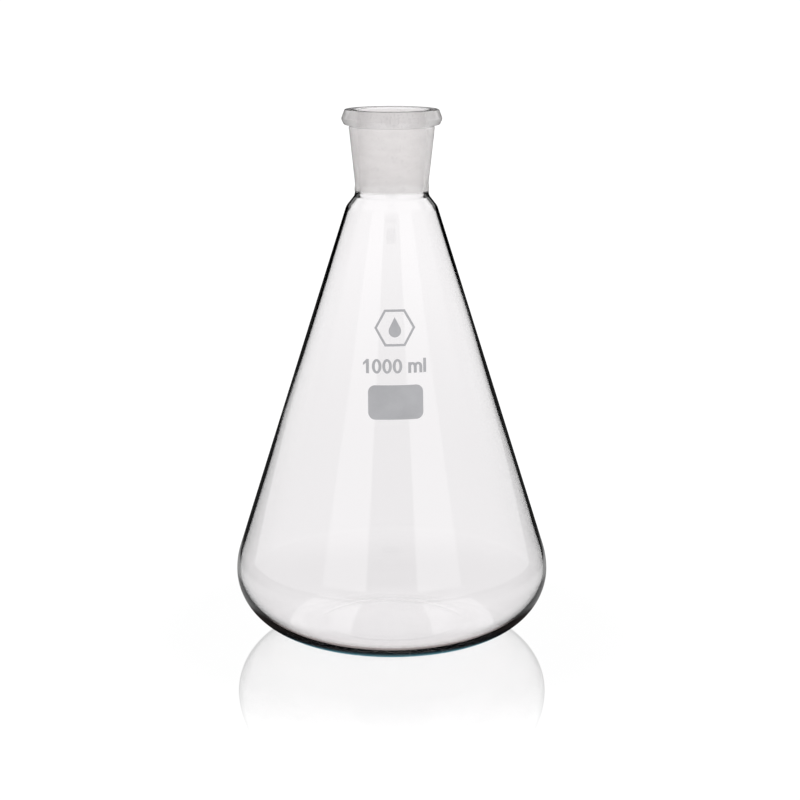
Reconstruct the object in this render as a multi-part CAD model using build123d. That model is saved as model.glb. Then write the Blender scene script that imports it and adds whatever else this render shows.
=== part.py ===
from build123d import *

import os
from math import cos, radians, sin, sqrt, tan

# A 1000 ml conical flask of borosilicate glass with a ground standard taper socket, in millimetres.
# The origin is the centre of the ring that the flask stands on, +Z is up and the prints face -Y.
# Outlines of turned parts are drawn in (radius, height) and turned round the Z axis.

# Driving dimensions of the vessel.
BODY_DIAMETER = 131.0
TOTAL_HEIGHT = 220.0
CONE_HALF_ANGLE = 17.45
WALL = 1.4
BASE_THICKNESS = 2.6

# Base and heel: a flat standing ring, a shallow push-up inside it and an elliptical heel outside it.
RING_INNER_RADIUS = 30.5
HEEL_START_RADIUS = 34.5
HEEL_HEIGHT = 27.0
PUSH_UP_HEIGHT = 1.0
RING_ROUNDING = 15.0

# Shoulder: the cone turns in steeply and runs out into the neck.
SHOULDER_HEIGHT = 180.4
SHOULDER_ANGLE = 38.0
SHOULDER_WALL = 1.6
SHOULDER_ROUNDING = 6.0
NECK_ROUNDING = 3.2
INNER_NECK_ROUNDING = 3.4
NECK_RADIUS = 15.1

# The socket is fused to the neck at this height, where the melt leaves a slight bead.
FUSE_HEIGHT = 186.5
FUSE_RADIUS = 15.2
BEAD_RADIUS = 15.3
BEAD_HEIGHT = 187.5
BEAD_ROUNDING = 2.0

# Standard taper 29/32: 29.2 mm at the large end, 1 in 10, ground for 32 mm.
TAPER_LARGE_DIAMETER = 29.2
TAPER_LENGTH = 32.0
TAPER_RATIO = 10.0
MOUTH_ROUNDING = 1.0
BORE_TOP_RADIUS = TAPER_LARGE_DIAMETER / 2
BORE_BOTTOM_RADIUS = BORE_TOP_RADIUS - TAPER_LENGTH / TAPER_RATIO / 2
TAPER_TOP_HEIGHT = TOTAL_HEIGHT - MOUTH_ROUNDING
TAPER_BOTTOM_HEIGHT = TAPER_TOP_HEIGHT - TAPER_LENGTH
MOUTH_CORNER_RADIUS = BORE_TOP_RADIUS + MOUTH_ROUNDING / TAPER_RATIO / 2

# Outside of the socket: its tube widens upwards to a groove, and the rolled rim stands over that.
TUBE_WAIST_HEIGHT = 189.8
TUBE_WAIST_RADIUS = 15.08
TUBE_WAIST_ROUNDING = 6.0
TUBE_TOP_HEIGHT = 213.0
TUBE_TOP_RADIUS = 17.62
TUBE_TOP_ROUNDING = 0.7
GROOVE_HEIGHT = 213.5
GROOVE_RADIUS = 16.65
GROOVE_ROUNDING = 0.25
RIM_UNDERSIDE_RADIUS = 19.6
RIM_UNDERSIDE_HEIGHT = 213.9
RIM_UNDERSIDE_ROUNDING = 0.8
RIM_BULGE_RADIUS = 20.75
RIM_BULGE_HEIGHT = 216.2
RIM_BULGE_ROUNDING = 2.0
RIM_FLAT_RADIUS = 19.3
RIM_FLAT_ROUNDING = 0.5

# Fired enamel on the front of the cone. Places and sizes are as they look from straight in front.
ENAMEL_THICKNESS = 0.1
PRINT_TILT = 0.7
PRINT_DEPTH = 70.0
PRINT_MARGIN = 2.0
PATCH_OFFSET = 1.55
PATCH_HEIGHT = 106.65
PATCH_SIZE = (22.0, 13.1)
PATCH_CORNER = 2.8

# The capacity marking: places across are the middles of the first stems and of the noughts.
MARKING_OFFSET = 1.1
DIGIT_BASE_HEIGHT = 117.75
DIGIT_HEIGHT = 5.45
STROKE = 1.18
THIN_STROKE = 0.92
ONE_PLACE = -10.85
ONE_FLAG_REACH = 1.2
ONE_FLAG_DROP = 1.45
ONE_FLAG_THICKNESS = 0.95
ONE_TOP_CORNER = 0.35
NOUGHT_PLACE = -7.15
NOUGHT_WIDTH = 3.85
NOUGHT_PITCH = 4.16
NOUGHT_OVERSHOOT = 0.06
SMALL_LETTER_HEIGHT = 4.1
SMALL_LETTER_PITCH = 2.22
M_PLACE = 6.05
L_PLACE = 12.05

# The generic mark: a hexagon round a drop.
EMBLEM_OFFSET = 1.2
EMBLEM_HEIGHT = 135.2
EMBLEM_RADIUS = 8.2
EMBLEM_LINE = 1.05
DROP_RADIUS = 2.5
DROP_TIP = 5.3
DROP_LOWERING = 1.15


def rise(angle, point, radius):
    """Height at the given radius on the line through a point that leans inwards by an angle."""
    return point[1] + (point[0] - radius) / tan(radians(angle))


def crossing(first, first_angle, second, second_angle):
    """Where two inward-leaning lines cross, each given by a point and its angle from vertical."""
    first_slope = tan(radians(first_angle))
    second_slope = tan(radians(second_angle))
    first_foot = first[0] + first[1] * first_slope
    second_foot = second[0] + second[1] * second_slope
    height = (first_foot - second_foot) / (first_slope - second_slope)
    return (first_foot - height * first_slope, height)


def vessel_profile(wall, floor, shoulder_wall, neck_radius, neck_end):
    """Corner values of one skin of the vessel: the outer skin has no wall and no floor."""
    body_radius = BODY_DIAMETER / 2
    turn = body_radius - HEEL_START_RADIUS
    cone_start = (
        HEEL_START_RADIUS + (turn - wall) * cos(radians(CONE_HALF_ANGLE)),
        HEEL_HEIGHT + (turn - wall) * sin(radians(CONE_HALF_ANGLE)),
    )
    outer_start = (
        HEEL_START_RADIUS + turn * cos(radians(CONE_HALF_ANGLE)),
        HEEL_HEIGHT + turn * sin(radians(CONE_HALF_ANGLE)),
    )
    corner_radius = outer_start[0] - (SHOULDER_HEIGHT - outer_start[1]) * tan(radians(CONE_HALF_ANGLE))
    steep_point = (
        corner_radius - shoulder_wall * cos(radians(SHOULDER_ANGLE)),
        SHOULDER_HEIGHT - shoulder_wall * sin(radians(SHOULDER_ANGLE)),
    )
    shoulder = crossing(cone_start, CONE_HALF_ANGLE, steep_point, SHOULDER_ANGLE)
    neck = (neck_radius, rise(SHOULDER_ANGLE, steep_point, neck_radius))
    return {
        "floor": floor,
        "turn": turn - wall,
        "cone_start": cone_start,
        "shoulder": shoulder,
        "neck": neck,
        "end": (neck_end, FUSE_HEIGHT),
    }


def skin_lines(skin, shoulder_rounding, neck_rounding):
    """Draw one skin of the vessel from the axis out, up the heel and cone, and into the neck."""
    floor = skin["floor"]
    ring_rounding = RING_ROUNDING - floor
    # The push-up is one big arc, tangent to the ring's rounding and level on the axis.
    push_up_radius = (RING_INNER_RADIUS**2 + (ring_rounding - PUSH_UP_HEIGHT) ** 2 - ring_rounding**2) / (
        2 * PUSH_UP_HEIGHT
    )
    lean = RING_INNER_RADIUS / (push_up_radius + ring_rounding)
    ring_end = (
        RING_INNER_RADIUS - ring_rounding * lean,
        floor + ring_rounding - ring_rounding * sqrt(1 - lean**2),
    )
    centre = (0, floor + PUSH_UP_HEIGHT)
    half_lean = lean / 2
    middle = (
        push_up_radius * half_lean,
        centre[1] - push_up_radius * (1 - sqrt(1 - half_lean**2)),
    )
    ThreePointArc(centre, middle, ring_end)
    TangentArc(ring_end, (RING_INNER_RADIUS, floor), tangent=(sqrt(1 - lean**2), -lean))
    Line((RING_INNER_RADIUS, floor), (HEEL_START_RADIUS, floor))
    EllipticalCenterArc(
        (HEEL_START_RADIUS, HEEL_HEIGHT),
        skin["turn"],
        HEEL_HEIGHT - floor,
        start_angle=270,
        arc_size=90,
    )
    widest = (HEEL_START_RADIUS + skin["turn"], HEEL_HEIGHT)
    TangentArc(widest, skin["cone_start"], tangent=(0, 1))
    FilletPolyline(
        skin["cone_start"],
        skin["shoulder"],
        skin["neck"],
        skin["end"],
        radius=(shoulder_rounding, neck_rounding),
    )
    return centre


OUTER = vessel_profile(0, 0, 0, NECK_RADIUS, FUSE_RADIUS)
INNER = vessel_profile(WALL, BASE_THICKNESS, SHOULDER_WALL, BORE_BOTTOM_RADIUS, BORE_BOTTOM_RADIUS)


def make_flask_body():
    """The blown vessel, from the standing ring up to the plane where the socket is fused on."""
    with BuildPart() as body:
        with BuildSketch(Plane.XZ):
            with BuildLine():
                low = skin_lines(OUTER, SHOULDER_ROUNDING, NECK_ROUNDING)
                high = skin_lines(INNER, SHOULDER_ROUNDING - WALL, INNER_NECK_ROUNDING)
                Line(low, high)
                Line(OUTER["end"], INNER["end"])
            make_face()
        revolve(axis=Axis.Z)
    return body.part


def make_joint_socket():
    """The ground socket: a thick tapered tube with a rolled rim, whose bore is a 29/32 taper."""
    outline = [
        ((FUSE_RADIUS, FUSE_HEIGHT), 0),
        ((BEAD_RADIUS, BEAD_HEIGHT), BEAD_ROUNDING),
        ((TUBE_WAIST_RADIUS, TUBE_WAIST_HEIGHT), TUBE_WAIST_ROUNDING),
        ((TUBE_TOP_RADIUS, TUBE_TOP_HEIGHT), TUBE_TOP_ROUNDING),
        ((GROOVE_RADIUS, GROOVE_HEIGHT), GROOVE_ROUNDING),
        ((RIM_UNDERSIDE_RADIUS, RIM_UNDERSIDE_HEIGHT), RIM_UNDERSIDE_ROUNDING),
        ((RIM_BULGE_RADIUS, RIM_BULGE_HEIGHT), RIM_BULGE_ROUNDING),
        ((RIM_FLAT_RADIUS, TOTAL_HEIGHT), RIM_FLAT_ROUNDING),
        ((MOUTH_CORNER_RADIUS, TOTAL_HEIGHT), MOUTH_ROUNDING),
        ((BORE_BOTTOM_RADIUS, TAPER_BOTTOM_HEIGHT), 0),
        ((BORE_BOTTOM_RADIUS, FUSE_HEIGHT), 0),
    ]
    with BuildPart() as socket:
        with BuildSketch(Plane.XZ):
            with BuildLine():
                FilletPolyline(
                    [point for point, rounding in outline],
                    radius=[rounding for point, rounding in outline],
                    close=True,
                )
            make_face()
        revolve(axis=Axis.Z)
    return socket.part


def enamel_skin(low, high):
    """A thin conical shell that lies on the glass between two heights of the cone."""
    start = OUTER["cone_start"]
    slope = tan(radians(CONE_HALF_ANGLE))
    step = ENAMEL_THICKNESS / cos(radians(CONE_HALF_ANGLE))
    low_radius = start[0] - (low - start[1]) * slope
    high_radius = start[0] - (high - start[1]) * slope
    with BuildPart() as skin:
        with BuildSketch(Plane.XZ):
            with BuildLine():
                Polyline(
                    (low_radius, low),
                    (low_radius + step, low),
                    (high_radius + step, high),
                    (high_radius, high),
                    close=True,
                )
            make_face()
        revolve(axis=Axis.Z)
    return skin.part


def print_on_cone(sketch, across, height):
    """Wrap a flat drawing, centred on the given place, on the front of the cone as enamel."""
    face = Plane(origin=(across, 0, height), x_dir=(1, 0, 0), z_dir=(0, -1, 0))
    box = sketch.bounding_box()
    skin = enamel_skin(height + box.min.Y - PRINT_MARGIN, height + box.max.Y + PRINT_MARGIN)
    prism = extrude(face * Rot(0, 0, PRINT_TILT) * sketch, amount=PRINT_DEPTH, dir=(0, -1, 0))
    return skin & prism


def digit_one():
    """The figure 1, drawn up from the origin with its stem's middle on the Y axis."""
    half = STROKE / 2
    flag_end = -half - ONE_FLAG_REACH
    flag_height = DIGIT_HEIGHT - ONE_FLAG_DROP
    return make_face(
        Polyline(
            (-half, 0),
            (half, 0),
            (half, DIGIT_HEIGHT),
            (-ONE_TOP_CORNER, DIGIT_HEIGHT),
            (flag_end, flag_height),
            (flag_end, flag_height - ONE_FLAG_THICKNESS),
            (-half, flag_height),
            close=True,
        )
    )


def digit_nought():
    """The figure 0 as an oval ring, standing on the origin."""
    half_width = NOUGHT_WIDTH / 2
    half_height = DIGIT_HEIGHT / 2 + NOUGHT_OVERSHOOT
    ring = Ellipse(half_width, half_height) - Ellipse(half_width - STROKE, half_height - THIN_STROKE)
    return Pos(0, DIGIT_HEIGHT / 2) * ring


def bar(width, height):
    """An upright stroke that stands on the origin."""
    return Pos(0, height / 2) * Rectangle(width, height)


def letter_m():
    """The small letter m: three stems and two arches, its first stem on the Y axis."""
    outer = (SMALL_LETTER_PITCH + STROKE) / 2
    inner = (SMALL_LETTER_PITCH - STROKE) / 2
    spring = SMALL_LETTER_HEIGHT - outer
    arch = Circle(outer) - Ellipse(inner, outer - THIN_STROKE)
    half_arch = arch & (Pos(0, outer) * Rectangle(4 * outer, 2 * outer))
    letter = bar(STROKE, SMALL_LETTER_HEIGHT)
    for place in (1, 2):
        letter += Pos((place - 0.5) * SMALL_LETTER_PITCH, spring) * half_arch
        letter += Pos(place * SMALL_LETTER_PITCH, 0) * bar(STROKE, spring)
    return letter


def make_capacity_print():
    """The capacity marking, six separate characters on one base line."""
    noughts = [(digit_nought(), NOUGHT_PLACE + i * NOUGHT_PITCH) for i in range(3)]
    letters = [(letter_m(), M_PLACE), (bar(STROKE, DIGIT_HEIGHT), L_PLACE)]
    characters = Sketch() + [
        Pos(across, -DIGIT_HEIGHT / 2) * character
        for character, across in [(digit_one(), ONE_PLACE), *noughts, *letters]
    ]
    return print_on_cone(characters, MARKING_OFFSET, DIGIT_BASE_HEIGHT + DIGIT_HEIGHT / 2)


def make_writing_patch():
    """The rounded enamel field that takes pencil notes."""
    return print_on_cone(RectangleRounded(*PATCH_SIZE, PATCH_CORNER), PATCH_OFFSET, PATCH_HEIGHT)


def make_emblem_print():
    """A generic mark: a hexagon outline with a drop in it."""
    frame = RegularPolygon(EMBLEM_RADIUS, 6) - RegularPolygon(EMBLEM_RADIUS - EMBLEM_LINE, 6)
    lean = sqrt(1 - (DROP_RADIUS / DROP_TIP) ** 2)
    touch = (DROP_RADIUS * lean, DROP_RADIUS**2 / DROP_TIP)
    point = make_face(Polyline((-touch[0], touch[1]), touch, (0, DROP_TIP), close=True))
    drop = Pos(0, -DROP_LOWERING) * (Circle(DROP_RADIUS) + point)
    return print_on_cone(Sketch() + [frame, drop], EMBLEM_OFFSET, EMBLEM_HEIGHT)


NODES = {
    "flask_body": make_flask_body,
    "joint_socket": make_joint_socket,
    "writing_patch": make_writing_patch,
    "capacity_print": make_capacity_print,
    "emblem_print": make_emblem_print,
}

os.makedirs("parts", exist_ok=True)
for name, make in NODES.items():
    export_step(make(), f"parts/{name}.step")
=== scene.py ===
import math

import bpy
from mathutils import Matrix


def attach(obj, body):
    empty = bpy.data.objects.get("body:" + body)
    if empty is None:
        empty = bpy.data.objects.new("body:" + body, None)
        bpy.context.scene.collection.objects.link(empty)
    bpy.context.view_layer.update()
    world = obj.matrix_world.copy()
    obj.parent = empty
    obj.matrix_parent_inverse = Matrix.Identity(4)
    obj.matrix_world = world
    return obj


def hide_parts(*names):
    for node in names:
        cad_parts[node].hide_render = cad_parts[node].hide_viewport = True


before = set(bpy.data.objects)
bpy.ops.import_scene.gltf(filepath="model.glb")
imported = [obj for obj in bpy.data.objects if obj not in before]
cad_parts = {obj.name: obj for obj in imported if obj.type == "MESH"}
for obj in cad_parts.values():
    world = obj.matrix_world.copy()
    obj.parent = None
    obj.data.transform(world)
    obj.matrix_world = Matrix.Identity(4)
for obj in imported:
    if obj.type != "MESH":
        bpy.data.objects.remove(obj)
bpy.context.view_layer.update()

# Two turned glass pieces stand for the CAD glass, and the enamel prints keep their CAD solids.
# Outlines are (radius, height) in millimetres, as the CAD has them.

MM = 0.001

# Vessel.
BODY_RADIUS = 65.5
CONE_HALF_ANGLE = math.radians(17.45)
WALL = 1.4
BASE_THICKNESS = 2.6
RING_INNER_RADIUS = 30.5
HEEL_START_RADIUS = 34.5
HEEL_HEIGHT = 27.0
PUSH_UP_HEIGHT = 1.0
RING_ROUNDING = 15.0
SHOULDER_HEIGHT = 180.4
SHOULDER_ANGLE = math.radians(38.0)
SHOULDER_WALL = 1.6
SHOULDER_ROUNDING = 6.0
NECK_ROUNDING = 3.2
INNER_NECK_ROUNDING = 3.4
NECK_RADIUS = 15.1
FUSE_HEIGHT = 186.5
FUSE_RADIUS = 15.2
BORE_BOTTOM_RADIUS = 13.0

# Socket: corners of its outline with the radius that rounds each one.
SOCKET_CORNERS = [
    ((FUSE_RADIUS, FUSE_HEIGHT), 0.05),
    ((15.3, 187.5), 2.0),
    ((15.08, 189.8), 6.0),
    ((17.62, 213.0), 0.7),
    ((16.65, 213.5), 0.25),
    ((19.6, 213.9), 0.8),
    ((20.75, 216.2), 2.0),
    ((19.3, 220.0), 0.5),
    ((14.65, 220.0), 1.0),
    ((BORE_BOTTOM_RADIUS, 187.0), 0.0),
    ((BORE_BOTTOM_RADIUS, FUSE_HEIGHT), 0.05),
]
GROUND_LOW = 187.0
GROUND_HIGH = 219.2
GROUND_OUTER_RADIUS = 14.8
FUSE_GAP = 0.01

# How finely the outlines are turned and divided, with steps along them in millimetres.
SEGMENTS = 240
PUSH_UP_PARTS = 24
RING_PARTS = 10
HEEL_PARTS = 64
SIDE_PARTS = 16
ARC_STEP = 0.12
SHOULDER_STEP = 2.0
SOCKET_STEP = 1.0

# The blown wall's unevenness on the inside of the cone, which fades out at both ends. A swirl is its
# share, its waves round the flask, the height over which it climbs one radian, and its phase.
UNEVENNESS = 0.025
UNEVEN_LOW = 26.0
UNEVEN_HIGH = 176.0
UNEVEN_FADE = 25.0
SWIRLS = [(1.0, 3, 19.0, 0.0), (0.8, 5, -11.0, 1.3), (0.5, 2, 6.5, 0.0)]


# ---------------------------------------------------------------- outlines


def arc(centre, radii, start, end, steps):
    """Points on an elliptical arc between two angles in radians."""
    points = []
    for i in range(steps + 1):
        angle = start + (end - start) * i / steps
        points.append((centre[0] + radii[0] * math.cos(angle), centre[1] + radii[1] * math.sin(angle)))
    return points


def rounded(corners, closed, step=ARC_STEP):
    """A polyline through corners, each ((radius, height), rounding), with its roundings as arcs."""
    points = []
    count = len(corners)
    for i, (corner, rounding) in enumerate(corners):
        if rounding == 0 or (not closed and i in (0, count - 1)):
            points.append(corner)
            continue
        before = corners[i - 1][0]
        after = corners[(i + 1) % count][0]
        back = (before[0] - corner[0], before[1] - corner[1])
        ahead = (after[0] - corner[0], after[1] - corner[1])
        back_length = math.hypot(*back)
        ahead_length = math.hypot(*ahead)
        back = (back[0] / back_length, back[1] / back_length)
        ahead = (ahead[0] / ahead_length, ahead[1] / ahead_length)
        inside = math.acos(max(-1, min(1, back[0] * ahead[0] + back[1] * ahead[1])))
        reach = rounding / math.tan(inside / 2)
        bisector = (back[0] + ahead[0], back[1] + ahead[1])
        length = math.hypot(*bisector)
        far = rounding / math.sin(inside / 2)
        centre = (corner[0] + bisector[0] / length * far, corner[1] + bisector[1] / length * far)
        first = (corner[0] + back[0] * reach, corner[1] + back[1] * reach)
        last = (corner[0] + ahead[0] * reach, corner[1] + ahead[1] * reach)
        start = math.atan2(first[1] - centre[1], first[0] - centre[0])
        turn = math.atan2(last[1] - centre[1], last[0] - centre[0]) - start
        turn = (turn + math.pi) % (2 * math.pi) - math.pi
        steps = max(3, int(abs(turn) * rounding / step))
        points += arc(centre, (rounding, rounding), start, start + turn, steps)
    return points


def subdivided(points, step):
    """The same polyline with its long stretches divided."""
    fine = [points[0]]
    for a, b in zip(points, points[1:]):
        pieces = max(1, int(math.hypot(b[0] - a[0], b[1] - a[1]) / step))
        for i in range(1, pieces + 1):
            share = i / pieces
            fine.append((a[0] + (b[0] - a[0]) * share, a[1] + (b[1] - a[1]) * share))
    return fine


def vessel_skin(wall, floor, shoulder_wall, neck_radius, end_radius, shoulder_rounding, neck_rounding):
    """One skin of the vessel from the middle of the base to the fuse plane."""
    turn = BODY_RADIUS - HEEL_START_RADIUS
    ring_rounding = RING_ROUNDING - floor
    push_up_radius = (
        RING_INNER_RADIUS**2 + (ring_rounding - PUSH_UP_HEIGHT) ** 2 - ring_rounding**2
    ) / (2 * PUSH_UP_HEIGHT)
    lean = math.asin(RING_INNER_RADIUS / (push_up_radius + ring_rounding))
    top = floor + PUSH_UP_HEIGHT
    down = -math.pi / 2
    push_up_centre = (0, top - push_up_radius)
    ring_centre = (RING_INNER_RADIUS, floor + ring_rounding)
    heel_centre = (HEEL_START_RADIUS, HEEL_HEIGHT)
    push_up = arc(push_up_centre, (push_up_radius,) * 2, -down, -down - lean, PUSH_UP_PARTS)
    ring = arc(ring_centre, (ring_rounding,) * 2, down - lean, down, RING_PARTS)
    heel = arc(heel_centre, (turn - wall, HEEL_HEIGHT - floor), down, 0, HEEL_PARTS)
    side = arc(heel_centre, (turn - wall,) * 2, 0, CONE_HALF_ANGLE, SIDE_PARTS)
    slope = math.tan(CONE_HALF_ANGLE)
    steep = math.tan(SHOULDER_ANGLE)
    outer_start = (
        HEEL_START_RADIUS + turn * math.cos(CONE_HALF_ANGLE),
        HEEL_HEIGHT + turn * math.sin(CONE_HALF_ANGLE),
    )
    shoulder_radius = outer_start[0] - (SHOULDER_HEIGHT - outer_start[1]) * slope
    on_steep = (
        shoulder_radius - shoulder_wall * math.cos(SHOULDER_ANGLE),
        SHOULDER_HEIGHT - shoulder_wall * math.sin(SHOULDER_ANGLE),
    )
    foot = side[-1][0] + side[-1][1] * slope
    steep_foot = on_steep[0] + on_steep[1] * steep
    corner_height = (foot - steep_foot) / (slope - steep)
    shoulder = (foot - corner_height * slope, corner_height)
    neck = (neck_radius, (steep_foot - neck_radius) / steep)
    top_run = rounded(
        [
            (side[-1], 0),
            (shoulder, shoulder_rounding),
            (neck, neck_rounding),
            ((end_radius, FUSE_HEIGHT - FUSE_GAP), 0),
        ],
        closed=False,
    )
    return push_up + ring[1:] + heel + side[1:] + subdivided(top_run, SHOULDER_STEP)[1:]


# ---------------------------------------------------------------- meshes


def turned(name, outline, closed, wave=None):
    """A closed, smooth solid of revolution of an outline given in millimetres."""
    vertices = []
    rings = []
    for i, (radius, height) in enumerate(outline):
        if radius < 1e-6:
            rings.append([len(vertices)])
            vertices.append((0.0, 0.0, height * MM))
            continue
        ring = []
        for j in range(SEGMENTS):
            angle = 2 * math.pi * j / SEGMENTS
            r = radius + (wave(i, angle, height) if wave else 0.0)
            ring.append(len(vertices))
            vertices.append((r * math.cos(angle) * MM, r * math.sin(angle) * MM, height * MM))
        rings.append(ring)
    pairs = list(zip(rings, rings[1:]))
    if closed:
        pairs.append((rings[-1], rings[0]))
    faces = []
    for low, high in pairs:
        for j in range(SEGMENTS):
            k = (j + 1) % SEGMENTS
            if len(low) == 1 and len(high) == 1:
                break
            if len(low) == 1:
                faces.append((low[0], high[k], high[j]))
            elif len(high) == 1:
                faces.append((low[j], low[k], high[0]))
            else:
                faces.append((low[j], low[k], high[k], high[j]))
    mesh = bpy.data.meshes.new(name)
    mesh.from_pydata(vertices, [], faces)
    mesh.update()
    mesh.shade_smooth()
    piece = bpy.data.objects.new(name, mesh)
    bpy.context.scene.collection.objects.link(piece)
    return piece


def make_bowl():
    """The blown vessel as one closed wall of glass."""
    outer = vessel_skin(0, 0, 0, NECK_RADIUS, FUSE_RADIUS, SHOULDER_ROUNDING, NECK_ROUNDING)
    inner = vessel_skin(
        WALL,
        BASE_THICKNESS,
        SHOULDER_WALL,
        BORE_BOTTOM_RADIUS,
        BORE_BOTTOM_RADIUS,
        SHOULDER_ROUNDING - WALL,
        INNER_NECK_ROUNDING,
    )

    def blown(place, angle, height):
        """The blown wall's slight unevenness, on the inside of the cone only."""
        if place < len(outer):
            return 0.0
        above = max(0.0, (height - UNEVEN_LOW) / UNEVEN_FADE)
        below = max(0.0, (UNEVEN_HIGH - height) / UNEVEN_FADE)
        cone = min(1.0, above, below)
        swirl = 0.0
        for share, waves, climb, phase in SWIRLS:
            swirl += share * math.sin(waves * angle + height / climb + phase)
        return UNEVENNESS * cone * swirl

    return turned("bowl_glass", outer + inner[::-1], closed=False, wave=blown)


def make_socket():
    """The ground socket with its rolled rim."""
    outline = rounded(SOCKET_CORNERS, closed=True)
    fine = subdivided(outline + [outline[0]], SOCKET_STEP)[:-1]
    return turned("socket_glass", fine, closed=True)


# ---------------------------------------------------------------- materials

# Noise scales are in cells per metre, and depths and heights are in metres. A pair is where a smooth
# step starts and ends.
IOR = 1.473
COLOURLESS = (1.0, 1.0, 1.0, 1.0)
GLASS_TINT = (0.905, 0.893, 0.90, 1.0)
TINT_DENSITY = 60.0

WAVE_SCALE = 45.0
WAVE_DEPTH = 0.00002
HAIRLINE_SCALE = 260.0
HAIRLINE_STRETCH = (1.0, 1.0, 9.0)
HAIRLINE_EDGES = (0.70, 0.74)
HAIRLINE_HEIGHTS = (0.006, 0.002)
HAIRLINE_ROUGHNESS = 0.2
WORN_SCALE = 1400.0
WORN_EDGES = (0.50, 0.60)
WORN_HEIGHTS = (0.0004, 0.0001)
WORN_ROUGHNESS = 0.25

GRAIN_SCALE = 2600.0
GRAIN_DEPTH = 0.00002
GRAIN_ROUGHNESS = 0.2

GROUND_DARK = (0.70, 0.68, 0.68, 1.0)
GROUND_LIGHT = (1.0, 0.975, 0.97, 1.0)
GROUND_TRANSMISSION = 0.45
GROUND_ROUGHNESS = 0.42
GROUND_SHADE = 0.6
GROUND_CLOUD_SCALE = 160.0
GROUND_CLOUD_STRETCH = (1.0, 1.0, 2.5)
GROUND_CLOUD_SHADE = 0.5
SPECK_SCALE = 1500.0
SPECK_EDGES = (0.60, 0.66)
SPECK_SHADE = -0.3
LINE_SCALE = 500.0
LINE_STRETCH = (0.25, 0.25, 5.0)
# Painted shade: the bore is darkened under the rolled rim, and its specks more so.
RIM_PAINTED_SHADE_HEIGHTS = (0.2125, 0.2145)
UNDER_RIM_PAINTED_SHADE = -0.6
UNDER_RIM_SPECK_PAINTED_SHADE = -2.0

# The enamel's two tones are grey as painted shade for the backlit white enamel. The cloudy spread
# between them is the enamel's own tone.
SHADED_ENAMEL_DARK = (0.26, 0.26, 0.272, 1.0)
SHADED_ENAMEL_LIGHT = (0.40, 0.40, 0.415, 1.0)
ENAMEL_ROUGHNESS = 0.45
ENAMEL_CLOUD_SCALE = 130.0
ENAMEL_CLOUD_SHADE = 0.6
ENAMEL_GRAIN_SHADE = 0.4


def new_material(name):
    """A node material with its Principled shader."""
    material = bpy.data.materials.new(name)
    material.use_nodes = True
    tree = material.node_tree
    return material, tree, tree.nodes["Principled BSDF"]


def feed(tree, socket, given):
    """Sets a socket to a number or links another socket to it."""
    if isinstance(given, (int, float)):
        socket.default_value = given
    else:
        tree.links.new(given, socket)


def value(tree, operation, *inputs):
    """A maths node fed by numbers and sockets."""
    node = tree.nodes.new("ShaderNodeMath")
    node.operation = operation
    for socket, given in zip(node.inputs, inputs):
        feed(tree, socket, given)
    return node.outputs[0]


def smooth(tree, given, start, end):
    """A smooth step from 0 at start to 1 at end, where end may be the lower one."""
    node = tree.nodes.new("ShaderNodeMapRange")
    node.interpolation_type = "SMOOTHSTEP"
    node.inputs["From Min"].default_value = start
    node.inputs["From Max"].default_value = end
    tree.links.new(given, node.inputs["Value"])
    return node.outputs["Result"]


def noise(tree, scale, detail=3.0, stretch=(1, 1, 1)):
    """Noise in the flask's own coordinates, in cells per metre, as a socket from 0 to 1."""
    place = tree.nodes.new("ShaderNodeTexCoord").outputs["Object"]
    mapping = tree.nodes.new("ShaderNodeMapping")
    mapping.inputs["Scale"].default_value = stretch
    tree.links.new(place, mapping.inputs["Vector"])
    texture = tree.nodes.new("ShaderNodeTexNoise")
    texture.inputs["Scale"].default_value = scale
    texture.inputs["Detail"].default_value = detail
    tree.links.new(mapping.outputs["Vector"], texture.inputs["Vector"])
    return texture.outputs["Fac"]


def add_bump(tree, shader, height, distance):
    """Bump of the given depth in metres."""
    bump = tree.nodes.new("ShaderNodeBump")
    bump.inputs["Distance"].default_value = distance
    tree.links.new(height, bump.inputs["Height"])
    tree.links.new(bump.outputs["Normal"], shader.inputs["Normal"])


def separated(tree, vector):
    """The X, Y and Z of a vector as sockets."""
    parts = tree.nodes.new("ShaderNodeSeparateXYZ")
    tree.links.new(vector, parts.inputs[0])
    return parts.outputs


def height_above_base(tree):
    """Height in the flask's own coordinates, in metres."""
    return separated(tree, tree.nodes.new("ShaderNodeTexCoord").outputs["Object"])["Z"]


def two_tones(tree, shader, factor, first, second):
    """Base colour between two tones."""
    blend = tree.nodes.new("ShaderNodeMix")
    blend.data_type = "RGBA"
    blend.inputs["A"].default_value = first
    blend.inputs["B"].default_value = second
    tree.links.new(factor, blend.inputs["Factor"])
    tree.links.new(blend.outputs["Result"], shader.inputs["Base Color"])


def clear_glass(name):
    """Fire-polished glass: long faint waves, hairline scuffs low down and a worn standing ring."""
    material, tree, shader = new_material(name)
    shader.inputs["Base Color"].default_value = COLOURLESS
    shader.inputs["Transmission Weight"].default_value = 1.0
    shader.inputs["IOR"].default_value = IOR
    height = height_above_base(tree)
    hairlines = smooth(tree, noise(tree, HAIRLINE_SCALE, 2.0, HAIRLINE_STRETCH), *HAIRLINE_EDGES)
    hairlines = value(tree, "MULTIPLY", hairlines, smooth(tree, height, *HAIRLINE_HEIGHTS))
    hairlines = value(tree, "MULTIPLY", hairlines, HAIRLINE_ROUGHNESS)
    worn = smooth(tree, noise(tree, WORN_SCALE), *WORN_EDGES)
    worn = value(tree, "MULTIPLY", worn, smooth(tree, height, *WORN_HEIGHTS))
    worn = value(tree, "MULTIPLY", worn, WORN_ROUGHNESS)
    tree.links.new(value(tree, "MAXIMUM", hairlines, worn), shader.inputs["Roughness"])
    add_bump(tree, shader, noise(tree, WAVE_SCALE, 1.0), WAVE_DEPTH)
    return material


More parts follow.
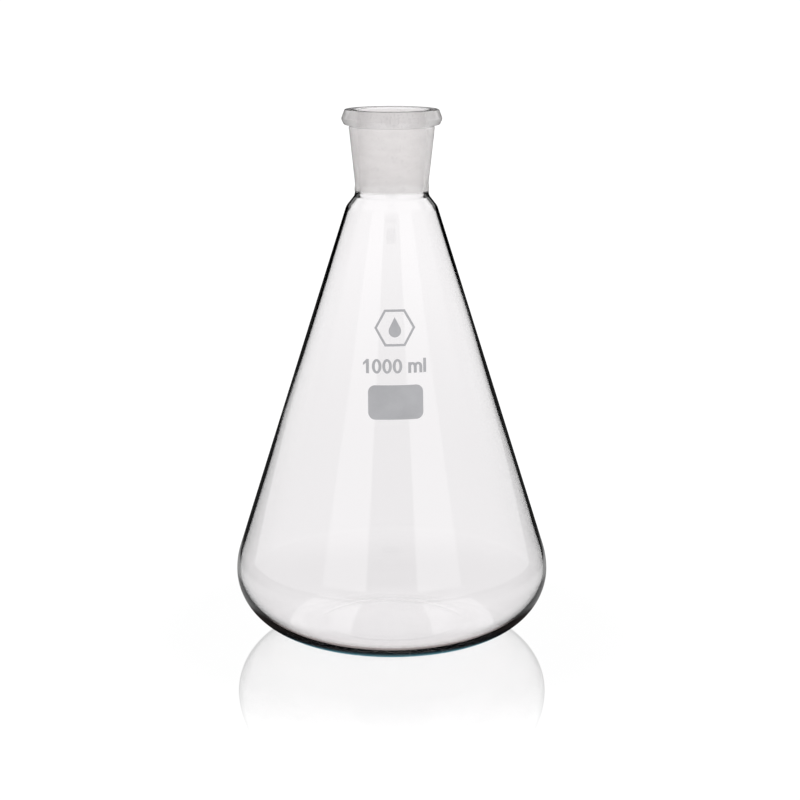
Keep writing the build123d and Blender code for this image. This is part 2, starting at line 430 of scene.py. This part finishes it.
def tinted(material):
    """Adds the faint tint of a thick edge of glass."""
    tree = material.node_tree
    volume = tree.nodes.new("ShaderNodeVolumeAbsorption")
    volume.inputs["Color"].default_value = GLASS_TINT
    volume.inputs["Density"].default_value = TINT_DENSITY
    tree.links.new(volume.outputs[0], tree.nodes["Material Output"].inputs["Volume"])
    return material


def ground_glass():
    """The matt taper: fine grinding lines round it, cloudy and with specks, and painted shade that
    darkens it and its specks under the rim.
    """
    material, tree, shader = new_material("ground_bore")
    shader.inputs["Transmission Weight"].default_value = GROUND_TRANSMISSION
    shader.inputs["IOR"].default_value = IOR
    grain = noise(tree, GRAIN_SCALE, 2.0)
    specks = smooth(tree, noise(tree, SPECK_SCALE, 1.0), *SPECK_EDGES)
    clouds = noise(tree, GROUND_CLOUD_SCALE, 2.0, GROUND_CLOUD_STRETCH)
    # Painted shade under the rim.
    under_rim_painted_shade = smooth(tree, height_above_base(tree), *RIM_PAINTED_SHADE_HEIGHTS)
    speck_shade = value(tree, "MULTIPLY_ADD", under_rim_painted_shade, UNDER_RIM_SPECK_PAINTED_SHADE, SPECK_SHADE)
    shade = value(tree, "MULTIPLY", specks, speck_shade)
    shade = value(tree, "MULTIPLY_ADD", under_rim_painted_shade, UNDER_RIM_PAINTED_SHADE, shade)
    shade = value(tree, "MULTIPLY_ADD", clouds, GROUND_CLOUD_SHADE, shade)
    two_tones(tree, shader, value(tree, "ADD", shade, GROUND_SHADE), GROUND_DARK, GROUND_LIGHT)
    roughness = value(tree, "MULTIPLY_ADD", grain, GRAIN_ROUGHNESS, GROUND_ROUGHNESS)
    tree.links.new(roughness, shader.inputs["Roughness"])
    lines = noise(tree, LINE_SCALE, 2.0, LINE_STRETCH)
    add_bump(tree, shader, value(tree, "ADD", lines, grain), GRAIN_DEPTH)
    return material


def enamel():
    """Matt fired enamel: slightly cloudy, with a fine grain, and grey base colours as painted shade on
    the white enamel.
    """
    material, tree, shader = new_material("fired_enamel")
    clouds = noise(tree, ENAMEL_CLOUD_SCALE, 2.0)
    grain = noise(tree, GRAIN_SCALE, 2.0)
    shade = value(tree, "MULTIPLY", clouds, ENAMEL_CLOUD_SHADE)
    shade = value(tree, "MULTIPLY_ADD", grain, ENAMEL_GRAIN_SHADE, shade)
    two_tones(tree, shader, shade, SHADED_ENAMEL_DARK, SHADED_ENAMEL_LIGHT)
    roughness = value(tree, "MULTIPLY_ADD", grain, GRAIN_ROUGHNESS, ENAMEL_ROUGHNESS)
    tree.links.new(roughness, shader.inputs["Roughness"])
    add_bump(tree, shader, grain, GRAIN_DEPTH)
    return material


# ---------------------------------------------------------------- the flask

bowl = make_bowl()
bowl.data.materials.append(tinted(clear_glass("clear_borosilicate")))
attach(bowl, "root")
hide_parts("flask_body")

socket = make_socket()
socket.data.materials.append(clear_glass("clear_socket"))
socket.data.materials.append(ground_glass())
for face in socket.data.polygons:
    radius = math.hypot(face.center.x, face.center.y) / MM
    height = face.center.z / MM
    if GROUND_LOW < height < GROUND_HIGH and radius < GROUND_OUTER_RADIUS:
        face.material_index = 1
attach(socket, "root")
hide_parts("joint_socket")

fired = enamel()
for node in ("writing_patch", "capacity_print", "emblem_print"):
    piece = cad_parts[node]
    piece.data.materials.clear()
    piece.data.materials.append(fired)

# ---------------------------------------------------------------- studio

# The floor and the world answer by the way that a ray came. Seen past the glass or through it they are
# white. What the glass mirrors is a dark studio with four upright light panels and light overhead. The
# studio is fixed to the floor and the world, and nothing in it depends on the camera.
PLAIN = (1, 1, 1, 1)
MAUVE = (1.0, 0.982, 0.992, 1)
WARM = (0.62, 0.55, 0.54, 1)
# The next three colour a painted contact shadow round the base.
SHADOW_TEAL = (0.13, 0.38, 0.48, 1)
SHADOW_DARK = (0.006, 0.008, 0.010, 1)
SHADOW_BROWN = (0.045, 0.037, 0.036, 1)

# White as it is seen past the glass, through it, from inside it and by matt surfaces.
WHITE = 1.08
THROUGH_LIGHT = 0.92
THROUGH_FAR_LIGHT = 1.0
UNDER_LIGHT = 1.0
REAR_WALL_LIGHT = 0.97
NEAR_FLOOR_LIGHT = 0.9
FAR_FLOOR_LIGHT = 1.1
HORIZON_LIGHT = 0.9
SCATTERED_LIGHT = 1.3
SCATTERED_SLOPE = 0.3

# The mirrored studio. Azimuths are from the front or the back towards a side, and PANEL_LOW, TOP,
# HIGH and FRONT are components of a direction.
PANEL_INNER = math.radians(19.0)
PANEL_OUTER = math.radians(53.0)
PANEL_EDGE = math.radians(1.2)
PANEL_LOW = 0.20
PANEL_LOW_EDGE = 0.06
PANEL_LIGHT = 0.85
SIDE_LIGHT = 0.3
LOW_SIDE = (math.radians(33), math.radians(48))
LOW_SIDE_LIGHT = 0.8
CENTRE_LIGHT = 0.03
TOP = (0.55, 0.75)
TOP_LIGHT = 0.9
HIGH = (0.30, 0.45)
FRONT = (0.15, 0.0)

# The floor, with distances from the flask's axis in metres. A pair is where a smooth step starts and
# ends, so its first number is the higher one where the step goes down.
FLOOR_HALF = 6.0
FLOOR_DROP = 0.0002
FLOOR_ROUGHNESS = 0.012
FLOOR_MIRROR = 0.40
MIRROR_REACH = (0.155, 0.085)
UNDER_REACH = (0.06, 0.035)
THROUGH_FAR_REACH = (0.25, 1.3)
NEAR_TO_FAR_REACH = (0.06, 0.15)
FAR_TO_HORIZON_REACH = (0.22, 0.35)
SPILL_REACH = (0.5, 0.3)
SPILL_LIGHT = 1.6
DISTANT_REACH = (0.8, 1.2)
DISTANT_LIGHT = 1.0
FRONT_HALF = (0.0, -0.03)
BEHIND_REACH = (0.24, 0.16)
BEHIND_LIGHT = 0.3
RING_START = (0.10, 0.12)
RING_END = (0.20, 0.16)
RING_LIGHT = 0.25
HEEL_SIDE_START = (0.031, 0.037)
HEEL_SIDE_END = (0.062, 0.054)
# A painted contact shadow round the base, dark with teal and brown, that only the outside of the glass
# mirrors.
CONTACT_SHADOW_REACH = (0.063, 0.075)
CONTACT_SHADOW_COLOURS = [(0.044, SHADOW_TEAL), (0.050, SHADOW_DARK), (0.053, SHADOW_DARK), (0.058, SHADOW_BROWN)]
CONTACT_SHADOW_RAMP_LENGTH = 0.1


def path_kinds(tree):
    """Ways that a ray came, each as 0 or 1.

    They are through the glass, mirrored outside, mirrored inside one wall, mirrored further in, and
    scattered by a matt surface.
    """
    path = tree.nodes.new("ShaderNodeLightPath")
    mirrored = value(tree, "GREATER_THAN", path.outputs["Glossy Depth"], 0.5)
    scattered = value(tree, "GREATER_THAN", path.outputs["Diffuse Depth"], 0.5)
    mirrored = value(tree, "MULTIPLY", mirrored, value(tree, "SUBTRACT", 1.0, scattered))
    entered = value(tree, "GREATER_THAN", path.outputs["Transmission Depth"], 0.5)
    further = value(tree, "GREATER_THAN", path.outputs["Transmission Depth"], 2.5)
    through = value(tree, "MULTIPLY", entered, value(tree, "SUBTRACT", 1.0, mirrored))
    outside = value(tree, "MULTIPLY", mirrored, value(tree, "SUBTRACT", 1.0, entered))
    outside = value(tree, "MULTIPLY", outside, path.outputs["Is Singular Ray"])
    one_wall = value(tree, "MULTIPLY", mirrored, value(tree, "SUBTRACT", entered, further))
    deep = value(tree, "MULTIPLY", mirrored, further)
    return through, outside, one_wall, deep, scattered


def panels(tree, vector):
    """The panels and the sides beyond them, each from 0 to 1, and the azimuth that they go by."""
    parts = separated(tree, vector)
    across = value(tree, "ABSOLUTE", parts["X"])
    along = value(tree, "ABSOLUTE", parts["Y"])
    azimuth = value(tree, "ARCTAN2", across, along)
    inner = smooth(tree, azimuth, PANEL_INNER - PANEL_EDGE, PANEL_INNER + PANEL_EDGE)
    outer = smooth(tree, azimuth, PANEL_OUTER - PANEL_EDGE, PANEL_OUTER + PANEL_EDGE)
    return value(tree, "SUBTRACT", inner, outer), outer, azimuth


def between(tree, share, first, second):
    """A number that goes from first to second as the share goes from 0 to 1."""
    return value(tree, "MULTIPLY_ADD", share, second - first, first)


def emission(tree, strength, colour=PLAIN):
    """Light from the floor."""
    node = tree.nodes.new("ShaderNodeEmission")
    node.inputs["Color"].default_value = colour
    feed(tree, node.inputs["Strength"], strength)
    return node.outputs[0]


def background(tree, strength, colour=PLAIN):
    """Light from the world."""
    node = tree.nodes.new("ShaderNodeBackground")
    node.inputs["Color"].default_value = colour
    feed(tree, node.inputs["Strength"], strength)
    return node.outputs[0]


def mixed(tree, factor, first, second):
    """The first shader where the factor is 0 and the second where it is 1."""
    node = tree.nodes.new("ShaderNodeMixShader")
    tree.links.new(factor, node.inputs[0])
    tree.links.new(first, node.inputs[1])
    tree.links.new(second, node.inputs[2])
    return node.outputs[0]


def seen_floor(tree, reach, through):
    """White acrylic, glossy near the flask."""
    far_rise = THROUGH_FAR_LIGHT - THROUGH_LIGHT
    white = between(tree, smooth(tree, reach, *UNDER_REACH), THROUGH_LIGHT, UNDER_LIGHT)
    white = value(tree, "MULTIPLY_ADD", smooth(tree, reach, *THROUGH_FAR_REACH), far_rise, white)
    white = value(tree, "MULTIPLY_ADD", through, value(tree, "SUBTRACT", white, WHITE), WHITE)
    shader = mixed(tree, through, emission(tree, white), emission(tree, white, MAUVE))
    gloss = tree.nodes.new("ShaderNodeBsdfGlossy")
    gloss.inputs["Roughness"].default_value = FLOOR_ROUGHNESS
    mirror = value(tree, "MULTIPLY", smooth(tree, reach, *MIRROR_REACH), FLOOR_MIRROR)
    return mixed(tree, mirror, shader, gloss.outputs[0])


def floor_outside(tree, place, reach):
    """What the outside of the glass mirrors: the panels' light, and a painted contact shadow, dark
    with teal and brown, where the flask stands.
    """
    panel, side, _ = panels(tree, place)
    spill = value(tree, "MULTIPLY_ADD", panel, SPILL_LIGHT, value(tree, "MULTIPLY", side, SIDE_LIGHT))
    spill = value(tree, "MULTIPLY", spill, smooth(tree, reach, *SPILL_REACH))
    distant = value(tree, "MULTIPLY", smooth(tree, reach, *DISTANT_REACH), DISTANT_LIGHT)
    spill = value(tree, "MULTIPLY_ADD", panel, distant, spill)
    in_front = smooth(tree, separated(tree, place)["Y"], *FRONT_HALF)
    behind = smooth(tree, reach, *BEHIND_REACH)
    behind = value(tree, "MULTIPLY_ADD", behind, BEHIND_LIGHT, CENTRE_LIGHT)
    spill = value(tree, "MULTIPLY_ADD", in_front, value(tree, "SUBTRACT", spill, behind), behind)
    # Painted contact shadow round the base.
    ramp = tree.nodes.new("ShaderNodeValToRGB")
    colours = ramp.color_ramp.elements
    while len(colours) < len(CONTACT_SHADOW_COLOURS):
        colours.new(1.0)
    for element, (distance, colour) in zip(colours, CONTACT_SHADOW_COLOURS):
        element.position = distance / CONTACT_SHADOW_RAMP_LENGTH
        element.color = colour
    tree.links.new(value(tree, "MULTIPLY", reach, 1 / CONTACT_SHADOW_RAMP_LENGTH), ramp.inputs[0])
    contact_shadow = tree.nodes.new("ShaderNodeEmission")
    tree.links.new(ramp.outputs["Color"], contact_shadow.inputs["Color"])
    past_contact_shadow = smooth(tree, reach, *CONTACT_SHADOW_REACH)
    return mixed(tree, past_contact_shadow, contact_shadow.outputs[0], emission(tree, spill))


def floor_in_one_wall(tree, reach):
    """What the inside of one wall mirrors: a dim ring, and warm grey under the heel."""
    ring = value(tree, "MULTIPLY", smooth(tree, reach, *RING_START), smooth(tree, reach, *RING_END))
    heel_side = smooth(tree, reach, *HEEL_SIDE_START)
    heel_side = value(tree, "MULTIPLY", heel_side, smooth(tree, reach, *HEEL_SIDE_END))
    ring_light = emission(tree, value(tree, "MULTIPLY", ring, RING_LIGHT))
    return mixed(tree, heel_side, ring_light, emission(tree, 1.0, WARM))


def floor_deep(tree, reach):
    """What is mirrored further in: white, dimmer near the flask and towards the horizon."""
    horizon_rise = HORIZON_LIGHT - FAR_FLOOR_LIGHT
    far = between(tree, smooth(tree, reach, *NEAR_TO_FAR_REACH), NEAR_FLOOR_LIGHT, FAR_FLOOR_LIGHT)
    far = value(tree, "MULTIPLY_ADD", smooth(tree, reach, *FAR_TO_HORIZON_REACH), horizon_rise, far)
    return emission(tree, far)


def white_acrylic():
    """The floor's material."""
    material = bpy.data.materials.new("white_acrylic")
    material.use_nodes = True
    tree = material.node_tree
    tree.nodes.clear()
    place = tree.nodes.new("ShaderNodeNewGeometry").outputs["Position"]
    distance = tree.nodes.new("ShaderNodeVectorMath")
    distance.operation = "LENGTH"
    tree.links.new(place, distance.inputs[0])
    reach = distance.outputs["Value"]
    through, outside, one_wall, deep, scattered = path_kinds(tree)
    shader = seen_floor(tree, reach, through)
    shader = mixed(tree, outside, shader, floor_outside(tree, place, reach))
    shader = mixed(tree, one_wall, shader, floor_in_one_wall(tree, reach))
    shader = mixed(tree, deep, shader, floor_deep(tree, reach))
    shader = mixed(tree, scattered, shader, emission(tree, SCATTERED_LIGHT))
    out = tree.nodes.new("ShaderNodeOutputMaterial")
    tree.links.new(shader, out.inputs[0])
    return material


def make_floor():
    """The floor that the flask stands on."""
    corners = [(-1, -1), (1, -1), (1, 1), (-1, 1)]
    mesh = bpy.data.meshes.new("floor")
    mesh.from_pydata([(x * FLOOR_HALF, y * FLOOR_HALF, 0) for x, y in corners], [], [(0, 1, 2, 3)])
    floor = bpy.data.objects.new("floor", mesh)
    bpy.context.scene.collection.objects.link(floor)
    floor.location.z = -FLOOR_DROP
    mesh.materials.append(white_acrylic())
    return floor


def make_world():
    """White all round, and the dark studio that the glass mirrors."""
    world = bpy.data.worlds.new("studio")
    bpy.context.scene.world = world
    world.use_nodes = True
    tree = world.node_tree
    tree.nodes.clear()
    direction = tree.nodes.new("ShaderNodeTexCoord").outputs["Generated"]
    parts = separated(tree, direction)
    height = parts["Z"]
    panel, side, azimuth = panels(tree, direction)
    above = smooth(tree, height, PANEL_LOW - PANEL_LOW_EDGE, PANEL_LOW + PANEL_LOW_EDGE)
    tall = value(tree, "MULTIPLY", panel, PANEL_LIGHT)
    light = value(tree, "ADD", value(tree, "MULTIPLY_ADD", side, SIDE_LIGHT, CENTRE_LIGHT), tall)
    light = value(tree, "MULTIPLY", light, above)
    overhead = value(tree, "MULTIPLY", smooth(tree, height, *TOP), TOP_LIGHT)
    light = value(tree, "MAXIMUM", light, overhead)
    low_side = value(tree, "MULTIPLY", smooth(tree, azimuth, *LOW_SIDE), LOW_SIDE_LIGHT)
    low_side = value(tree, "MULTIPLY", low_side, value(tree, "SUBTRACT", 1.0, above))
    outer_light = value(tree, "ADD", light, low_side)
    front_or_high = smooth(tree, parts["Y"], *FRONT)
    front_or_high = value(tree, "MAXIMUM", front_or_high, smooth(tree, height, *HIGH))
    wall_light = value(tree, "MULTIPLY", light, front_or_high)
    matt_light = value(tree, "MULTIPLY_ADD", parts["X"], SCATTERED_SLOPE, SCATTERED_LIGHT)
    through, outside, one_wall, deep, scattered = path_kinds(tree)
    white = between(tree, through, WHITE, THROUGH_FAR_LIGHT)
    shader = mixed(tree, through, background(tree, white), background(tree, white, MAUVE))
    shader = mixed(tree, outside, shader, background(tree, outer_light))
    shader = mixed(tree, one_wall, shader, background(tree, wall_light))
    shader = mixed(tree, deep, shader, background(tree, REAR_WALL_LIGHT, MAUVE))
    shader = mixed(tree, scattered, shader, background(tree, matt_light))
    out = tree.nodes.new("ShaderNodeOutputWorld")
    tree.links.new(shader, out.inputs[0])


floor = make_floor()
make_world()

# ---------------------------------------------------------------- camera

CAMERA_PLACE = (0.0, -0.8533, 0.2798)
CAMERA_TILT = math.radians(10.604)
SENSOR_WIDTH = 36.0
LENS = 93.735
SHIFT_ACROSS = 0.01025
SHIFT_UP = -0.0625
CLIP_END = 50.0
GLASS_BOUNCES = 24
GLOSSY_BOUNCES = 12

camera_data = bpy.data.cameras.new("camera")
camera = bpy.data.objects.new("camera", camera_data)
bpy.context.scene.collection.objects.link(camera)
camera.location = CAMERA_PLACE
camera.rotation_euler = (math.pi / 2 - CAMERA_TILT, 0.0, 0.0)
camera_data.sensor_width = SENSOR_WIDTH
camera_data.lens = LENS
camera_data.shift_x = SHIFT_ACROSS
camera_data.shift_y = SHIFT_UP
camera_data.clip_end = CLIP_END
bpy.context.scene.camera = camera

bpy.context.scene.view_settings.view_transform = "Standard"
bpy.context.scene.cycles.max_bounces = GLASS_BOUNCES
bpy.context.scene.cycles.transmission_bounces = GLASS_BOUNCES
bpy.context.scene.cycles.glossy_bounces = GLOSSY_BOUNCES
